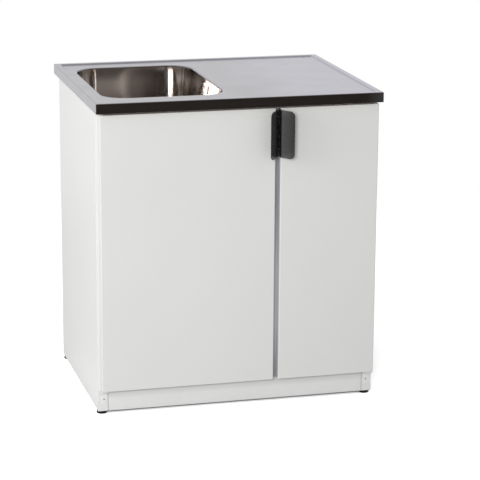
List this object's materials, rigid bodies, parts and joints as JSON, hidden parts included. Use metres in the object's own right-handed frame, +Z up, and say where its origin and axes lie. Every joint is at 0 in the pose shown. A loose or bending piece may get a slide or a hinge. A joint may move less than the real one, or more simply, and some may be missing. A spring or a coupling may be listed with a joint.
{
  "type": "sink unit",
  "caption": "Sink unit: white base cabinet with hinged doors and dark wing handles under a stainless steel top with a deep bowl, basket strainer, overflow and bottle trap.",
  "frame": {"origin": "on the floor under the middle of the unit's bounding box", "axes": "+X to the right as seen from the front, +Y from the doors towards the wall, +Z up"},
  "size_m": [0.8, 0.6762, 0.88],
  "materials": {
    "white_board": "white melamine-faced board, satin",
    "white_door": "white lacquered board, satin",
    "chipboard": "raw board",
    "hardboard": "white painted sheet",
    "stainless_steel": "brushed",
    "zinc_plated_steel": "bright zinc",
    "black_edging": "satin",
    "dark_plastic": "satin",
    "white_plastic": "moulded",
    "black_rubber": "matt"
  },
  "bodies": {
    "unit": {"side_panel_left": "white_board", "side_panel_right": "white_board", "base_panel": "white_board", "plinth_board": "white_board", "front_rail": "white_board", "rear_rail": "white_board", "centre_partition": "white_board", "shelf": "white_board", "left_shelf_cleat": "white_board", "right_shelf_cleat": "white_board", "back_panel": "hardboard", "worktop_core": "chipboard", "steel_top": "stainless_steel", "front_edge_strip": "black_edging", "sink_bowl": "stainless_steel", "overflow_plate": "stainless_steel", "overflow_housing": "white_plastic", "overflow_pipe": "white_plastic", "waste_flange": "stainless_steel", "waste_seal": "black_rubber", "waste_body": "white_plastic", "tail_pipe": "white_plastic", "trap_body": "white_plastic", "trap_cup": "white_plastic", "outlet_pipe": "white_plastic", "trap_inlet_nut": "white_plastic", "trap_outlet_nut": "white_plastic", "left_top_bracket": "zinc_plated_steel", "left_bottom_bracket": "zinc_plated_steel", "left_top_pin": "zinc_plated_steel", "left_bottom_pin": "zinc_plated_steel", "left_bracket_screw": "zinc_plated_steel", "left_catch": "dark_plastic", "right_top_bracket": "zinc_plated_steel", "right_bottom_bracket": "zinc_plated_steel", "right_top_pin": "zinc_plated_steel", "right_bottom_pin": "zinc_plated_steel", "right_bracket_screw": "zinc_plated_steel", "right_catch": "dark_plastic"},
    "left_door": {"left_door_panel": "white_door", "left_top_bush": "white_plastic", "left_bottom_bush": "white_plastic", "left_handle": "dark_plastic", "left_handle_screw_upper": "zinc_plated_steel", "left_handle_screw_lower": "zinc_plated_steel", "left_strike_plate": "zinc_plated_steel"},
    "right_door": {"right_door_panel": "white_door", "right_top_bush": "white_plastic", "right_bottom_bush": "white_plastic", "right_handle": "dark_plastic", "right_handle_screw_upper": "zinc_plated_steel", "right_handle_screw_lower": "zinc_plated_steel", "right_strike_plate": "zinc_plated_steel"},
    "strainer": {"basket_strainer": "stainless_steel"},
    "front_left_foot": {"foot_front_left": "black_rubber"},
    "front_right_foot": {"foot_front_right": "black_rubber"},
    "rear_left_foot": {"foot_rear_left": "black_rubber"},
    "rear_right_foot": {"foot_rear_right": "black_rubber"}
  },
  "joints": [
    {"name": "left_door_hinge", "type": "hinge", "parent": "unit", "child": "left_door", "pos_m": [-0.378, -0.28139, 0.458], "axis": [0, 0, -1], "range_deg": [0, 110]},
    {"name": "right_door_hinge", "type": "hinge", "parent": "unit", "child": "right_door", "pos_m": [0.385, -0.28139, 0.458], "axis": [0, 0, 1], "range_deg": [0, 110]},
    {"name": "strainer_lift", "type": "slide", "parent": "unit", "child": "strainer", "axis": [0, 0, 1], "range_m": [0, 0.2]},
    {"name": "front_left_foot_turn", "type": "hinge", "parent": "unit", "child": "front_left_foot", "pos_m": [-0.381, -0.24889, 0], "axis": [0, 0, 1], "continuous": true},
    {"name": "front_right_foot_turn", "type": "hinge", "parent": "unit", "child": "front_right_foot", "pos_m": [0.381, -0.24889, 0], "axis": [0, 0, 1], "continuous": true},
    {"name": "rear_left_foot_turn", "type": "hinge", "parent": "unit", "child": "rear_left_foot", "pos_m": [-0.381, 0.25811, 0], "axis": [0, 0, 1], "continuous": true},
    {"name": "rear_right_foot_turn", "type": "hinge", "parent": "unit", "child": "rear_right_foot", "pos_m": [0.381, 0.25811, 0], "axis": [0, 0, 1], "continuous": true}
  ]
}
